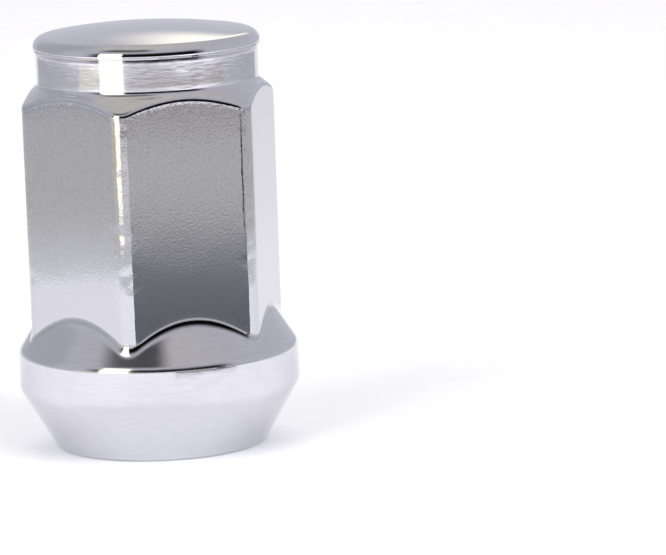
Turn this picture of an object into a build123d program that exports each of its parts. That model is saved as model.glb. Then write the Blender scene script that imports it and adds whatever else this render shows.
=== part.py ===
from build123d import *
from math import atan, cos, radians, tan
import os

# Acorn lug nut with a bulge seat, standing on its open end: forged body and welded end cap.
# Millimetres and degrees. The origin is the centre of the open end, and +Z is the nut's axis.

# Hexagon
across_flats = 20.64
corner_radius = 1.75
overall_height = 37.7

# Bulge with its cone seat, which starts above a short round land at the open end
bulge_step = 0.9
end_land = 0.4
seat_height = 5.4
seat_angle = 60.0
band_height = 3.35
bulge_top_angle = 66.0
end_chamfer = 0.35
seat_edge_chamfer = 0.7
rim_chamfer = 0.3
scallop_blend = 1.0

# Shoulder and neck
shoulder_angle = 100.0
neck_step = 0.45
neck_height = 3.08
neck_blend = 0.3
neck_end_chamfer = 0.2

# Bore, drilled to the thread's minor diameter and tapped from the open end
thread_diameter = 14.0
thread_pitch = 2.0
thread_depth_per_pitch = 0.5413
countersink_step = 1.1
countersink_angle = 90.0
far_chamfer = 0.5

# End cap, a crowned disc pressed from steel and welded over the neck
dome_rise = 0.95
dome_edge_rounding = 1.05
lip_side = 0.05
cap_edge_chamfer = 0.2
cap_overhang = 0.22

# Places that follow from the sizes above
flat_distance = across_flats / 2
corner_distance = (flat_distance - corner_radius) / cos(radians(30)) + corner_radius
bulge_radius = corner_distance + bulge_step
end_radius = bulge_radius - (seat_height - end_land) * tan(radians(seat_angle / 2))
rim_height = seat_height + band_height
neck_radius = flat_distance - neck_step
cap_radius = neck_radius + cap_overhang
crown_slope = 2 * atan(dome_rise / cap_radius)
cap_side_height = dome_edge_rounding * tan(radians(45) - crown_slope / 2) + lip_side + cap_edge_chamfer
neck_end = overall_height - dome_rise - cap_side_height
neck_base = neck_end - neck_height
bore_radius = thread_diameter / 2 - thread_depth_per_pitch * thread_pitch
mouth_radius = thread_diameter / 2 + countersink_step
countersink_depth = (mouth_radius - bore_radius) / tan(radians(countersink_angle / 2))


def drawn(*corners):
    """Outline of a turned shape, from its corners as (radius, height)."""
    return make_face(Polyline(*corners, close=True))


def corner_of(outline, corner):
    """The outline's own point at a (radius, height)."""
    return outline.vertices().sort_by_distance(corner)[0]


def turned(outline):
    """Solid turned about the nut's axis from its outline."""
    return revolve(Plane.XZ * outline, axis=Axis.Z)


def hexagon():
    """Six flats with rounded corners, topped by the turned shoulder and neck."""
    flats = RegularPolygon(flat_distance, 6, major_radius=False)
    flats = fillet(flats.vertices(), corner_radius)
    prism = Pos(0, 0, seat_height) * extrude(flats, amount=neck_end - seat_height)
    shoulder_drop = (bulge_radius - neck_radius) / tan(radians(shoulder_angle / 2))
    outline = drawn(
        (0, seat_height),
        (bulge_radius, seat_height),
        (bulge_radius, neck_base - shoulder_drop),
        (neck_radius, neck_base),
        (neck_radius, neck_end),
        (0, neck_end),
    )
    outline = chamfer(corner_of(outline, (neck_radius, neck_base)), neck_blend)
    outline = chamfer(corner_of(outline, (neck_radius, neck_end)), neck_end_chamfer)
    return prism & turned(outline)


def bulge():
    """End land, cone seat, round band and upper cone, which runs up inside the hexagon."""
    end_edge = (end_radius, 0)
    land_edge = (end_radius, end_land)
    seat_edge = (bulge_radius, seat_height)
    rim = (bulge_radius, rim_height)
    tip = (0, rim_height + bulge_radius / tan(radians(bulge_top_angle / 2)))
    outline = drawn((0, 0), end_edge, land_edge, seat_edge, rim, tip)
    outline = chamfer(corner_of(outline, end_edge), end_chamfer)
    outline = chamfer(corner_of(outline, seat_edge), seat_edge_chamfer)
    outline = chamfer(corner_of(outline, rim), rim_chamfer)
    return turned(outline)


def scallops(solid):
    """Edges where the bulge's upper cone runs out into the hexagon's flats and corners."""
    cone_rise = (bulge_radius - flat_distance) / tan(radians(bulge_top_angle / 2))
    cones = solid.faces().filter_by(GeomType.CONE)
    cone = cones.filter_by_position(Axis.Z, rim_height, rim_height + cone_rise).sort_by(Axis.Z)[-1]
    return [edge for edge in cone.edges() if edge.geom_type not in (GeomType.CIRCLE, GeomType.LINE)]


def bore():
    """Through bore with the countersunk mouth at the seat end and a chamfer at the neck."""
    return turned(
        drawn(
            (0, 0),
            (mouth_radius, 0),
            (bore_radius, countersink_depth),
            (bore_radius, neck_end - far_chamfer),
            (bore_radius + far_chamfer, neck_end),
            (0, neck_end),
        )
    )


def nut_body():
    """Forged, turned and tapped body in one piece, with its scallops blended."""
    solid = hexagon() + bulge()
    solid = fillet(scallops(solid), scallop_blend)
    return solid - bore()


def end_cap():
    """Crowned disc with a rounded edge, seated on the end of the neck."""
    top_edge = (cap_radius, neck_end + cap_side_height)
    weld_edge = (cap_radius, neck_end)
    crown = TangentArc((0, overall_height), top_edge, tangent=(1, 0))
    sides = Polyline(top_edge, weld_edge, (0, neck_end), (0, overall_height))
    outline = make_face([crown, sides])
    outline = fillet(corner_of(outline, top_edge), dome_edge_rounding)
    outline = chamfer(corner_of(outline, weld_edge), cap_edge_chamfer)
    return turned(outline)


os.makedirs("parts", exist_ok=True)
export_step(nut_body(), "parts/nut_body.step")
export_step(end_cap(), "parts/end_cap.step")
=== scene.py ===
import math

import bpy
from mathutils import Matrix, Vector, noise


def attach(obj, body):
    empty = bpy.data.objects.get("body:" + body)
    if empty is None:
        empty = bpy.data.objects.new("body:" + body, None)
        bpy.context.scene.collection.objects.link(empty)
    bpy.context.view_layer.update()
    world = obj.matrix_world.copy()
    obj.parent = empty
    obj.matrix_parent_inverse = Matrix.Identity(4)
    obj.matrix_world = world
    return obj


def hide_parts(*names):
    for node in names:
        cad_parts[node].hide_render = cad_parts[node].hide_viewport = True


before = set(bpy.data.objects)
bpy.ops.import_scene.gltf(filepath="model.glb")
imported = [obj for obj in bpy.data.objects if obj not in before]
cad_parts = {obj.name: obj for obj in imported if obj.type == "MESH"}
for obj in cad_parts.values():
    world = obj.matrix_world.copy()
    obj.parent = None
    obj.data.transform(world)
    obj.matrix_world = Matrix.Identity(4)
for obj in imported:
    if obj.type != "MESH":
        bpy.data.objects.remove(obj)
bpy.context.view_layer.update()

# Nut body: one steel forging, turned at both ends and tapped, then chrome plated all over.
# Cone seat and round bulge below, hexagon with rounded corners, shoulder chamfer and turned neck above.
# Sizes in millimetres.
MM = 0.001
flat_distance = 10.32
corner_rounding = 1.75
# half the angle that a rounded corner takes up, seen from the axis
corner_half = math.radians(4.38)
end_radius = 9.659
end_rounding = 0.35
end_land = 0.4
land_rounding = 0.1
bulge_radius = 12.545
seat_height = 5.4
seat_edge_rounding = 1.3
rim_height = 8.75
rim_rounding = 1.2
upper_cone_lean = math.radians(33)
scallop_blend = 2.2
shoulder_lean = math.radians(50)
shoulder_rounding = 0.8
neck_radius = 9.87
neck_base = 32.551
neck_base_rounding = 0.6
neck_end = 35.631
neck_end_rounding = 0.05
neck_end_unevenness = 0.04
mouth_radius = 8.1
bore_radius = 5.917
far_chamfer = 0.5
thread_radius = 7.0
thread_pitch = 2.0
thread_crest = thread_pitch / 4
flank_lean = math.pi / 6
nick_depth = 0.06
nick_length = 0.6
nick_crowding = 1.3
# how far nicks spread past a corner's rounding, and where on the hexagon they begin and end
nick_spread = 1.6
nick_low = rim_height + 2
nick_high = neck_base - 1.2


def angle_from_corner(turn):
    """Angle between a direction, itself an angle from +X, and the hexagon's nearest corner."""
    return abs((turn + math.pi / 6) % (math.pi / 3) - math.pi / 6)


def hexagon_radius(turn):
    """Distance from the axis to the rounded hexagon in one direction."""
    from_corner = angle_from_corner(turn)
    if from_corner < corner_half:
        arc_centre = (flat_distance - corner_rounding) / math.cos(math.pi / 6)
        aside = arc_centre * math.sin(from_corner)
        return arc_centre * math.cos(from_corner) + math.sqrt(corner_rounding**2 - aside**2)
    return flat_distance / math.cos(math.pi / 6 - from_corner)


def rounded_line(corners, spans):
    """Points along a line of corners, each with its radius, height, rounding and steps in the rounding.

    The spans are the numbers of pieces in the straight runs between the corners.
    """
    bends = []
    for i, (r, z, rounding, steps) in enumerate(corners):
        here = Vector((r, z))
        if i in (0, len(corners) - 1):
            bends.append([here])
            continue
        back = (Vector(corners[i - 1][:2]) - here).normalized()
        ahead = (Vector(corners[i + 1][:2]) - here).normalized()
        half = back.angle(ahead) / 2
        reach = rounding / math.tan(half)
        centre = here + (back + ahead).normalized() * rounding / math.sin(half)
        start = here + back * reach - centre
        finish = here + ahead * reach - centre
        sweep = start.angle_signed(finish)
        bends.append([])
        for k in range(steps + 1):
            arm = start.copy()
            arm.rotate(Matrix.Rotation(-sweep * k / steps, 2))
            bends[-1].append(centre + arm)
    line = list(bends[0])
    for bend, pieces in zip(bends[1:], spans):
        last = line[-1]
        line += [last.lerp(bend[0], k / pieces) for k in range(1, pieces)]
        line += bend
    return line


def uneven(turn, waves, seed):
    """Smooth unevenness round the axis, from -1 to 1."""
    return noise.noise(Vector((waves * math.cos(turn), waves * math.sin(turn), seed)))


def body_line(turn):
    """The outside of the nut in one direction, from the mouth of the bore to the end of the neck."""
    side = hexagon_radius(turn)
    cone_top = rim_height + (bulge_radius - side) / math.tan(upper_cone_lean)
    shoulder = neck_base - (side - neck_radius) / math.tan(shoulder_lean)
    weld_edge = neck_end_rounding + neck_end_unevenness * uneven(turn, waves=9, seed=3.1)
    corners = [
        (mouth_radius, 0, 0, 1),
        (end_radius, 0, end_rounding, 4),
        (end_radius, end_land, land_rounding, 2),
        (bulge_radius, seat_height, seat_edge_rounding, 8),
        (bulge_radius, rim_height, rim_rounding, 8),
        (side, cone_top, scallop_blend, 10),
        (side, shoulder, shoulder_rounding, 8),
        (neck_radius, neck_base, neck_base_rounding, 8),
        (neck_radius, neck_end, weld_edge, 4),
        (bore_radius + far_chamfer, neck_end, 0, 1),
    ]
    spans = [3, 1, 8, 4, 8, 44, 4, 6, 2]
    return rounded_line(corners, spans)


def battered(turn, point):
    """A point of the outside, its corner nicked as tumbling in the plating drum leaves it."""
    edge = max(0, 1 - angle_from_corner(turn) / (nick_spread * corner_half))
    spot = Vector((3 * math.cos(turn), 3 * math.sin(turn), point[1] / nick_length))
    nick = max(0, noise.noise(spot * nick_crowding))
    on_hexagon = nick_low < point[1] < nick_high
    return (point[0] - nick_depth * edge * nick * on_hexagon, point[1])


def bore_wall(turn, z):
    """Radius of the tapped bore: a right-hand metric thread, countersunk at the mouth."""
    along = (z / thread_pitch - turn / (2 * math.pi)) % 1
    from_crest = abs(along - 0.5) * thread_pitch
    flank = (from_crest - thread_crest / 2) / math.tan(flank_lean)
    depth = min(max(flank, 0), thread_radius - bore_radius)
    return max(bore_radius + depth, mouth_radius - z, bore_radius + far_chamfer - (neck_end - z))


def turned_mesh(name, rows, cap_ends=False):
    """Mesh object from closed rings of points in millimetres.

    A ring may have half or twice the points of the one before.
    """
    points = [p * MM for row in rows for p in row]
    starts = [0]
    for row in rows:
        starts.append(starts[-1] + len(row))
    faces = []
    for k in range(len(rows) - 1):
        a, b = starts[k], starts[k + 1]
        na, nb = len(rows[k]), len(rows[k + 1])
        if na == nb:
            faces += [(a + i, a + (i + 1) % na, b + (i + 1) % na, b + i) for i in range(na)]
        elif na == 2 * nb:
            for i in range(nb):
                first, middle, last = a + 2 * i, a + 2 * i + 1, a + (2 * i + 2) % na
                near, far = b + i, b + (i + 1) % nb
                faces += [(first, middle, near), (middle, far, near), (middle, last, far)]
        else:
            for i in range(na):
                first, middle, last = b + 2 * i, b + 2 * i + 1, b + (2 * i + 2) % nb
                near, far = a + i, a + (i + 1) % na
                faces += [(near, middle, first), (near, far, middle), (far, last, middle)]
    if cap_ends:
        faces += [tuple(reversed(range(len(rows[0])))), tuple(range(starts[-2], starts[-1]))]
    mesh = bpy.data.meshes.new(name)
    mesh.from_pydata(points, [], faces)
    mesh.validate()
    obj = bpy.data.objects.new(name, mesh)
    bpy.context.scene.collection.objects.link(obj)
    return obj


def place(turn, point):
    """Point in space of a radius and height in one direction."""
    return Vector((point[0] * math.cos(turn), point[0] * math.sin(turn), point[1]))


corner_steps = 10
flat_steps = 32
flat_width = math.pi / 3 - 2 * corner_half
turns = []
for sector in range(6):
    corner = sector * math.pi / 3
    turns += [corner - corner_half + 2 * corner_half * k / corner_steps for k in range(corner_steps)]
    turns += [corner + corner_half + flat_width * k / flat_steps for k in range(flat_steps)]
lines = [body_line(turn) for turn in turns]
outside = []
for k in range(len(lines[0])):
    outside.append([place(turn, battered(turn, line[k])) for turn, line in zip(turns, lines)])
bore_turns = turns[::2]
bore_step = 0.1
bore_heights = [bore_step * k for k in range(1, int(neck_end / bore_step) + 1)] + [neck_end]
bore = [[place(turn, (bore_wall(turn, z), z)) for turn in bore_turns] for z in bore_heights]
nut_body = turned_mesh("nut_body_plated", [bore[0]] + outside + list(reversed(bore)))

# Chrome on forged steel: bright and faintly blue, over a struck surface that the plating never levels.
# To the eye: fine grain on the flats, slow waves that bend reflections, and dull specks.
chrome_light = "#CACAD0"
chrome_deep = "#B8B8C0"
chrome_dull = "#8C8B91"
grain_width, grain_depth = 0.22, 0.007
wave_width, wave_depth = 5.0, 0.010
speck_width = 0.2
# the flats are smoother towards the bulge: heights where the grain begins and where it is full
grain_begins, grain_full = 16, 23


def linear(code):
    """sRGB hex colour as linear RGBA."""
    parts = [int(code[i : i + 2], 16) / 255 for i in (1, 3, 5)]
    return tuple(c / 12.92 if c <= 0.04045 else ((c + 0.055) / 1.055) ** 2.4 for c in parts) + (1,)


def node(tree, kind, settings=(), **inputs):
    """Adds a node with its own settings and its inputs, each a value or an output to link.

    An input is named for its socket, or by an underscore and the socket's number.
    """
    made = tree.nodes.new(kind)
    for key, value in dict(settings).items():
        setattr(made, key, value)
    for key, value in inputs.items():
        socket = made.inputs[int(key[1:])] if key[1:].isdigit() else made.inputs[key.replace("_", " ")]
        if isinstance(value, bpy.types.NodeSocket):
            tree.links.new(value, socket)
        else:
            socket.default_value = value
    return made


def new_material(name):
    """Empty material and its node tree."""
    material = bpy.data.materials.new(name)
    material.use_nodes = True
    material.node_tree.nodes.clear()
    return material, material.node_tree


forged_chrome, tree = new_material("chrome_on_forged_steel")
where = node(tree, "ShaderNodeTexCoord").outputs["Object"]
grain = node(
    tree, "ShaderNodeTexNoise", Vector=where, Scale=1 / (grain_width * MM), Detail=2.0, Roughness=0.6
)
waves = node(
    tree, "ShaderNodeTexNoise", Vector=where, Scale=1 / (wave_width * MM), Detail=1.0, Roughness=0.4
)
specks = node(
    tree, "ShaderNodeTexNoise", Vector=where, Scale=1 / (speck_width * MM), Detail=3.0, Roughness=0.6
)
slow = node(
    tree, "ShaderNodeBump", Strength=1.0, Distance=wave_depth * MM, Height=waves.outputs["Fac"]
)
height = node(tree, "ShaderNodeSeparateXYZ", Vector=where).outputs["Z"]
struck = node(
    tree, "ShaderNodeMapRange", Value=height, From_Min=grain_begins * MM, From_Max=grain_full * MM,
    To_Min=0.35, To_Max=1.0,
)
fine = node(
    tree, "ShaderNodeBump", Strength=struck.outputs["Result"], Distance=grain_depth * MM,
    Height=grain.outputs["Fac"], Normal=slow.outputs["Normal"],
)
gloss = node(
    tree, "ShaderNodeMapRange", Value=specks.outputs["Fac"], From_Min=0.35, From_Max=0.75,
    To_Min=0.035, To_Max=0.08,
)
sandy = node(
    tree, "ShaderNodeMapRange", Value=grain.outputs["Fac"], From_Min=0.25, From_Max=0.75,
    To_Max=struck.outputs["Result"],
)
tint = node(
    tree, "ShaderNodeMix", {"data_type": "RGBA"}, Factor=sandy.outputs["Result"],
    _6=linear(chrome_light), _7=linear(chrome_deep),
)
pitted = node(tree, "ShaderNodeMapRange", Value=specks.outputs["Fac"], From_Min=0.66, From_Max=0.9)
skin = node(
    tree, "ShaderNodeMix", {"data_type": "RGBA"}, Factor=pitted.outputs["Result"],
    _6=tint.outputs[2], _7=linear(chrome_dull),
)
shader = node(
    tree, "ShaderNodeBsdfPrincipled", Base_Color=skin.outputs[2], Metallic=1.0,
    Roughness=gloss.outputs["Result"], Normal=fine.outputs["Normal"],
)
node(tree, "ShaderNodeOutputMaterial", Surface=shader.outputs["BSDF"])

# Chrome on turned steel: the lathe's rings show through the plating, most of all on the neck.
# To the eye: fine lines round the neck, hardly any on the bulge, and brighter than the forged flats.
turned_light = "#DCDCE2"
turned_deep = "#CCCCD4"
# rings 0.05 mm apart are drawn about 0.25 mm apart, or they would not show
ring_spacing, ring_length, ring_depth = 0.25, 1.5, 0.004
peel_width, peel_depth = 1.3, 0.007
# heights between which the rings come in, from the shoulder to the neck
rings_begin, rings_full = neck_base - 0.8, neck_base + 0.2
turned_chrome, tree = new_material("chrome_on_turned_steel")
where = node(tree, "ShaderNodeTexCoord").outputs["Object"]
stretched = node(
    tree, "ShaderNodeMapping", Vector=where,
    Scale=(1 / (ring_length * MM), 1 / (ring_length * MM), 1 / (ring_spacing * MM)),
)
rings = node(
    tree, "ShaderNodeTexNoise", Vector=stretched.outputs["Vector"], Scale=1.0, Detail=3.0, Roughness=0.6
)
peel = node(
    tree, "ShaderNodeTexNoise", Vector=where, Scale=1 / (peel_width * MM), Detail=2.0, Roughness=0.5
)
soft = node(tree, "ShaderNodeBump", Strength=1.0, Distance=peel_depth * MM, Height=peel.outputs["Fac"])
height = node(tree, "ShaderNodeSeparateXYZ", Vector=where).outputs["Z"]
tooling = node(
    tree, "ShaderNodeMapRange", Value=height, From_Min=rings_begin * MM, From_Max=rings_full * MM,
    To_Min=0.03, To_Max=1.0,
)
lathe = node(
    tree, "ShaderNodeBump", Strength=tooling.outputs["Result"], Distance=ring_depth * MM,
    Height=rings.outputs["Fac"], Normal=soft.outputs["Normal"],
)
gloss = node(
    tree, "ShaderNodeMapRange", Value=rings.outputs["Fac"], From_Min=0.3, From_Max=0.75,
    To_Min=0.08, To_Max=0.16,
)
tint = node(
    tree, "ShaderNodeMix", {"data_type": "RGBA"}, Factor=rings.outputs["Fac"],
    _6=linear(turned_light), _7=linear(turned_deep),
)
shader = node(
    tree, "ShaderNodeBsdfPrincipled", Base_Color=tint.outputs[2], Metallic=1.0,
    Roughness=gloss.outputs["Result"], Normal=lathe.outputs["Normal"],
)
node(tree, "ShaderNodeOutputMaterial", Surface=shader.outputs["BSDF"])

# Tapped steel: the bore is cut after forging and hardly reached by the plating.
# To the eye: duller and warmer than the outside, with dark oily patches in the grooves.
steel_light = "#A9A49B"
steel_deep = "#6E6860"
oil_width = 2.5
scratch_spacing, scratch_length, scratch_depth = 0.2, 20 / 3, 0.006
tapped_steel, tree = new_material("tapped_steel")
where = node(tree, "ShaderNodeTexCoord").outputs["Object"]
oily = node(
    tree, "ShaderNodeTexNoise", Vector=where, Scale=1 / (oil_width * MM), Detail=4.0, Roughness=0.6
)
scratches = node(
    tree, "ShaderNodeMapping", Vector=where,
    Scale=(1 / (scratch_length * MM), 1 / (scratch_length * MM), 1 / (scratch_spacing * MM)),
)
drag = node(
    tree, "ShaderNodeTexNoise", Vector=scratches.outputs["Vector"], Scale=1.0, Detail=2.0, Roughness=0.5
)
torn = node(tree, "ShaderNodeBump", Strength=1.0, Distance=scratch_depth * MM, Height=drag.outputs["Fac"])
gloss = node(
    tree, "ShaderNodeMapRange", Value=oily.outputs["Fac"], From_Min=0.3, From_Max=0.7,
    To_Min=0.24, To_Max=0.42,
)
tint = node(
    tree, "ShaderNodeMix", {"data_type": "RGBA"}, Factor=oily.outputs["Fac"],
    _6=linear(steel_light), _7=linear(steel_deep),
)
shader = node(
    tree, "ShaderNodeBsdfPrincipled", Base_Color=tint.outputs[2], Metallic=1.0,
    Roughness=gloss.outputs["Result"], Normal=torn.outputs["Normal"],
)
node(tree, "ShaderNodeOutputMaterial", Surface=shader.outputs["BSDF"])

# Where each finish lies: bare steel in the bore, turned on the neck, the bulge and the slopes that face up.
# The rest, which is the flats and corners of the hexagon, is as forged.
finishes = (forged_chrome, turned_chrome, tapped_steel)
bore_edge = mouth_radius - 0.02
turned_above = neck_base - 0.3
turned_slope = 0.3
for material in finishes:
    nut_body.data.materials.append(material)
for face in nut_body.data.polygons:
    face.use_smooth = True
    from_axis = math.hypot(face.center.x, face.center.y) / MM
    level = face.center.z / MM
    if from_axis < bore_edge:
        face.material_index = finishes.index(tapped_steel)
    elif level > turned_above or level < rim_height or face.normal.z > turned_slope:
        face.material_index = finishes.index(turned_chrome)
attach(nut_body, "root")
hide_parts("nut_body")

# End cap: a crowned disc pressed from thin steel, its edge turned down, welded over the neck's open end.
# The weld leaves an uneven seam below its lip. Plated with the body.
cap_radius = 10.09
cap_top = 37.7
dome_rise = 0.95
crown_radius = (cap_radius**2 + dome_rise**2) / (2 * dome_rise)
crown_steps = 25
lip_rounding = 1.05
lip_steps = 16
lower_edge_rounding = 0.04
lower_edge_unevenness = 0.03
underside_middle = 0.8


def cap_line(turn):
    """The cap in one direction, from the middle of its underside over the lip to the top of its crown."""
    crown_centre = cap_top - crown_radius
    lip_centre = cap_radius - lip_rounding
    lip_middle = crown_centre + math.sqrt((crown_radius - lip_rounding) ** 2 - lip_centre**2)
    lip_sweep = math.atan2(lip_middle - crown_centre, lip_centre)
    weld_edge = lower_edge_rounding + lower_edge_unevenness * uneven(turn, waves=8, seed=8.4)
    edge = [
        (underside_middle, neck_end, 0, 1),
        (cap_radius, neck_end, weld_edge, 5),
        (cap_radius, lip_middle, 0, 1),
    ]
    line = rounded_line(edge, [4, 1])
    for k in range(1, lip_steps + 1):
        arc = lip_sweep * k / lip_steps
        r = lip_centre + lip_rounding * math.cos(arc)
        line.append(Vector((r, lip_middle + lip_rounding * math.sin(arc))))
    inner = line[-1][0]
    for k in range(1, crown_steps):
        r = inner * (1 - k / crown_steps)
        line.append(Vector((r, crown_centre + math.sqrt(crown_radius**2 - r * r))))
    return line


lines = [cap_line(turn) for turn in turns]
rows = [[place(turn, line[k]) for turn, line in zip(turns, lines)] for k in range(len(lines[0]))]
end_cap = turned_mesh("end_cap_plated", rows, cap_ends=True)

# Chrome on pressed sheet: the smoothest part of the nut, as bright as the turned steel.
# To the eye: mirror-like, with a slow ripple and a few fine handling marks.
ripple_width, ripple_depth = 3.0, 0.006
mark_width = 0.5
pressed_chrome, tree = new_material("chrome_on_pressed_sheet")
where = node(tree, "ShaderNodeTexCoord").outputs["Object"]
ripple = node(
    tree, "ShaderNodeTexNoise", Vector=where, Scale=1 / (ripple_width * MM), Detail=1.0, Roughness=0.4
)
marks = node(
    tree, "ShaderNodeTexNoise", Vector=where, Scale=1 / (mark_width * MM), Detail=3.0, Roughness=0.6
)
soft = node(tree, "ShaderNodeBump", Strength=1.0, Distance=ripple_depth * MM, Height=ripple.outputs["Fac"])
gloss = node(
    tree, "ShaderNodeMapRange", Value=marks.outputs["Fac"], From_Min=0.35, From_Max=0.75,
    To_Min=0.04, To_Max=0.08,
)
tint = node(
    tree, "ShaderNodeMix", {"data_type": "RGBA"}, Factor=marks.outputs["Fac"],
    _6=linear(turned_light), _7=linear(turned_deep),
)
shader = node(
    tree, "ShaderNodeBsdfPrincipled", Base_Color=tint.outputs[2], Metallic=1.0,
    Roughness=gloss.outputs["Result"], Normal=soft.outputs["Normal"],
)
node(tree, "ShaderNodeOutputMaterial", Surface=shader.outputs["BSDF"])
end_cap.data.materials.append(pressed_chrome)
for face in end_cap.data.polygons:
    # only the disc in the middle of the underside is shaded flat
    face.use_smooth = len(face.vertices) < 5 or face.center.z > (cap_top - dome_rise) * MM
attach(end_cap, "root")
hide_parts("end_cap")

# Floor: a wide sheet of pale card that the nut stands on.
# Matt and evenly lit, with a faint mottle like paper. Its half width is in metres.
card_light = "#F8F8FB"
card_deep = "#F4F4F8"
mottle_width = 4.0
floor_half = 1.5
floor_corners = [(-1, -1), (1, -1), (1, 1), (-1, 1)]
floor_mesh = bpy.data.meshes.new("floor")
floor_mesh.from_pydata([(x * floor_half, y * floor_half, 0) for x, y in floor_corners], [], [(0, 1, 2, 3)])
floor = bpy.data.objects.new("floor", floor_mesh)
bpy.context.scene.collection.objects.link(floor)
pale_card, tree = new_material("pale_card")
where = node(tree, "ShaderNodeTexCoord").outputs["Object"]
mottle = node(
    tree, "ShaderNodeTexNoise", Vector=where, Scale=1 / (mottle_width * MM), Detail=3.0, Roughness=0.5
)
tint = node(
    tree, "ShaderNodeMix", {"data_type": "RGBA"}, Factor=mottle.outputs["Fac"],
    _6=linear(card_light), _7=linear(card_deep),
)
shader = node(tree, "ShaderNodeBsdfPrincipled", Base_Color=tint.outputs[2], Roughness=0.9)
node(tree, "ShaderNodeOutputMaterial", Surface=shader.outputs["BSDF"])
floor_mesh.materials.append(pale_card)

# Camera: a long lens a little above the nut, which stands left of the middle of the picture.
# Fitted to the nut's outline. The focal length is in pixels of the picture; other lengths are millimetres.
image_width = 666
sensor_width = 36
focal_pixels = 4475.4
nearest = 10
camera_turn = math.radians(-19.26)
camera_drop = math.radians(9.95)
camera_roll = math.radians(1.98)
camera_away = 400.0
aim_height = 18.0
nut_right = -15.843
nut_up = 3.731
right = Vector((1, 0, 0))
up = Vector((0, math.sin(camera_drop), math.cos(camera_drop)))
forward = Vector((0, math.cos(camera_drop), -math.sin(camera_drop)))
spot = Vector((0, 0, aim_height)) - right * nut_right - up * nut_up - forward * camera_away
image_right = right * math.cos(camera_roll) - up * math.sin(camera_roll)
image_up = right * math.sin(camera_roll) + up * math.cos(camera_roll)
stance = Matrix((image_right, image_up, -forward)).transposed().to_4x4()
stance.translation = spot * MM
camera_data = bpy.data.cameras.new("camera")
camera_data.sensor_width = sensor_width
camera_data.lens = focal_pixels / image_width * sensor_width
camera_data.clip_start = nearest * MM
camera = bpy.data.objects.new("camera", camera_data)
camera.matrix_world = Matrix.Rotation(camera_turn, 4, "Z") @ stance
bpy.context.scene.collection.objects.link(camera)
bpy.context.scene.camera = camera

# Light: a plain pale room, dark behind the camera, and round the nut a paper tent and a few plain cards.
# Chrome shows little but its surroundings, so each of them gives some zone of the nut its tone.
# Bearings are degrees to the right of the camera, seen from the nut; lifts are degrees above the floor.
wall_foot = "#D0D0DB"
wall_top = "#CAC9CE"
ceiling = "#D8D2C8"
wall_top_rise = 0.7
bpy.context.scene.view_settings.view_transform = "Standard"
world = bpy.data.worlds.new("pale_room")
world.use_nodes = True
bpy.context.scene.world = world
room_tree = world.node_tree
room_tree.nodes.clear()


def direction_to(bearing, lift):
    """Direction from the nut to a place in the room."""
    side = camera_turn - math.pi / 2 + math.radians(bearing)
    level = math.radians(lift)
    return Vector((math.cos(side) * math.cos(level), math.sin(side) * math.cos(level), math.sin(level)))


def span(value, low, high, soft):
    """Share from 0 to 1 of a value that lies between low and high, with soft edges."""
    enters = node(
        room_tree, "ShaderNodeMapRange", {"interpolation_type": "SMOOTHSTEP"}, Value=value,
        From_Min=math.radians(low - soft), From_Max=math.radians(low + soft),
    )
    leaves = node(
        room_tree, "ShaderNodeMapRange", {"interpolation_type": "SMOOTHSTEP"}, Value=value,
        From_Min=math.radians(high + soft), From_Max=math.radians(high - soft),
    )
    both = node(
        room_tree, "ShaderNodeMath", {"operation": "MULTIPLY"},
        _0=enters.outputs["Result"], _1=leaves.outputs["Result"],
    )
    return both.outputs["Value"]


look = node(room_tree, "ShaderNodeTexCoord").outputs["Generated"]
rise = node(room_tree, "ShaderNodeSeparateXYZ", Vector=look).outputs["Z"]
lift_angle = node(room_tree, "ShaderNodeMath", {"operation": "ARCSINE"}, _0=rise).outputs["Value"]
# bearings are counted from this one, so that none of the patches wraps round
middle_bearing = 20
ahead = node(
    room_tree, "ShaderNodeVectorMath", {"operation": "DOT_PRODUCT"},
    _0=look, _1=direction_to(middle_bearing, 0),
)
aside = node(
    room_tree, "ShaderNodeVectorMath", {"operation": "DOT_PRODUCT"},
    _0=look, _1=direction_to(middle_bearing + 90, 0),
)
bearing_angle = node(
    room_tree, "ShaderNodeMath", {"operation": "ARCTAN2"},
    _0=aside.outputs["Value"], _1=ahead.outputs["Value"],
).outputs["Value"]
walls = node(room_tree, "ShaderNodeValToRGB", Fac=rise)
walls.color_ramp.elements[0].position = 0.0
walls.color_ramp.elements[0].color = linear(wall_foot)
walls.color_ramp.elements[1].position = 1.0
walls.color_ramp.elements[1].color = linear(ceiling)
walls.color_ramp.elements.new(wall_top_rise).color = linear(wall_top)
room = walls.outputs["Color"]
# darker left wall, dark side behind the camera, black flag above it, window behind the nut:
# bearings, lifts, softness, colour, brightness
patches = [
    ((-150, -95), (0, 60), 8, "#BEBEC4", 1.0),
    ((-56, 60), (-12, 27), 10, "#0E0E11", 1.0),
    ((-58, 8), (46, 63), 12, "#1C1D24", 1.0),
    ((166, 182), (19, 42), 4, "#FFFAEA", 1.6),
]
for bearings, lifts, soft, colour, brightness in patches:
    across = span(bearing_angle, bearings[0] - middle_bearing, bearings[1] - middle_bearing, soft)
    upward = span(lift_angle, lifts[0], lifts[1], soft)
    share = node(room_tree, "ShaderNodeMath", {"operation": "MULTIPLY"}, _0=across, _1=upward)
    tone = Vector(linear(colour)) * brightness
    room = node(
        room_tree, "ShaderNodeMix", {"data_type": "RGBA"}, Factor=share.outputs["Value"], _6=room, _7=tone
    ).outputs[2]
glow = node(room_tree, "ShaderNodeBackground", Color=room, Strength=1.0)
node(room_tree, "ShaderNodeOutputWorld", Surface=glow.outputs["Background"])


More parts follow.
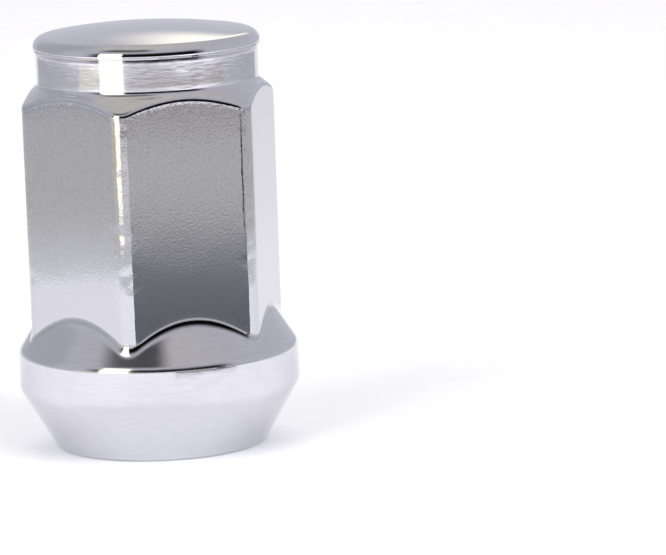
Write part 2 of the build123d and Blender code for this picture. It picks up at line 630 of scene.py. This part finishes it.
def screen(name, corners, faces, tones):
    """Lit screen that only the chrome shows, from corners in millimetres with a tone for each."""
    mesh = bpy.data.meshes.new(name)
    mesh.from_pydata([corner * MM for corner in corners], [], faces)
    lit = mesh.color_attributes.new("tone", "FLOAT_COLOR", "POINT")
    for k, tone in enumerate(tones):
        lit.data[k].color = tone
    material, tree = new_material(name)
    tone = node(tree, "ShaderNodeAttribute", {"attribute_name": "tone"})
    shine = node(tree, "ShaderNodeEmission", Color=tone.outputs["Color"], Strength=1.0)
    node(tree, "ShaderNodeOutputMaterial", Surface=shine.outputs["Emission"])
    mesh.materials.append(material)
    obj = bpy.data.objects.new(name, mesh)
    bpy.context.scene.collection.objects.link(obj)
    obj.visible_camera = False
    obj.visible_diffuse = False
    obj.visible_shadow = False


def card(name, bearing, away, width, levels, colour, brightness):
    """Flat card of one tone that stands facing the nut, from one level up to the other."""
    face = direction_to(bearing, 0)
    along = Vector((0, 0, 1)).cross(face)
    corners = []
    for side, end in ((-0.5, 0), (0.5, 0), (0.5, 1), (-0.5, 1)):
        corners.append(face * away + along * (width * side) + Vector((0, 0, levels[end])))
    screen(name, corners, [(0, 1, 2, 3)], [Vector(linear(colour)) * brightness] * 4)


def tent(name, bearings, rows):
    """Sheet bent round the nut between two bearings, from rows of distance, level and tone."""
    steps = range(bearings[0], bearings[1] + 1)
    corners, tones, faces = [], [], []
    for away, level, colour in rows:
        for bearing in steps:
            corners.append(direction_to(bearing, 0) * away + Vector((0, 0, level)))
            tones.append(linear(colour))
    for row in range(len(rows) - 1):
        for k in range(row * len(steps), (row + 1) * len(steps) - 1):
            faces.append((k, k + 1, k + 1 + len(steps), k + len(steps)))
    screen(name, corners, faces, tones)


paper_top, paper, paper_foot = "#AEAEB9", "#DCDBD9", "#F8F8FB"
cloth_far, cloth_near = "#8C8C92", "#707076"
white, warm_grey = "#FFFFFF", "#B2AEAA"
tent_top, tent_middle = 20.6, 13.5
tent(
    "paper_tent", (-150, 148),
    [(130, tent_top, paper_top), (130, tent_middle, paper), (130, 3, paper), (102, 0.1, paper_foot)],
)
tent("floor_cloth", (14, 62), [(129, 4, paper), (104, 0.4, cloth_far), (62, 0.4, cloth_near)])
tent("white_card", (-22, 14), [(128, tent_middle, white), (128, 0.2, white)])
tent("grey_card", (-16, 84), [(127, tent_top, warm_grey), (127, 14.5, warm_grey)])
card("window_panel", -34, 125, 54, (0.2, 100), "#FFF9E8", 2.0)
card("cream_reflector", -59, 127, 50, (0.2, tent_top), "#EFE8D2", 1.0)
card("black_flag", 51, 124, 16, (0.2, 14), "#141418", 1.0)


def fill(name, bearing, lift, away, size, power):
    """Wide soft lamp for the floor, which the chrome does not show."""
    data = bpy.data.lights.new(name, "AREA")
    data.size = size * MM
    data.energy = power
    lamp = bpy.data.objects.new(name, data)
    spot = direction_to(bearing, lift)
    facing = spot.to_track_quat("Z", "Y").to_matrix().to_4x4()
    lamp.matrix_world = Matrix.Translation(spot * away * MM) @ facing
    lamp.visible_glossy = False
    bpy.context.scene.collection.objects.link(lamp)


fill("front_left_fill", -45, 30, 500, 350, 1.9)
fill("front_right_fill", 50, 30, 500, 350, 1.9)
fill("back_fill", 180, 40, 500, 300, 0.5)
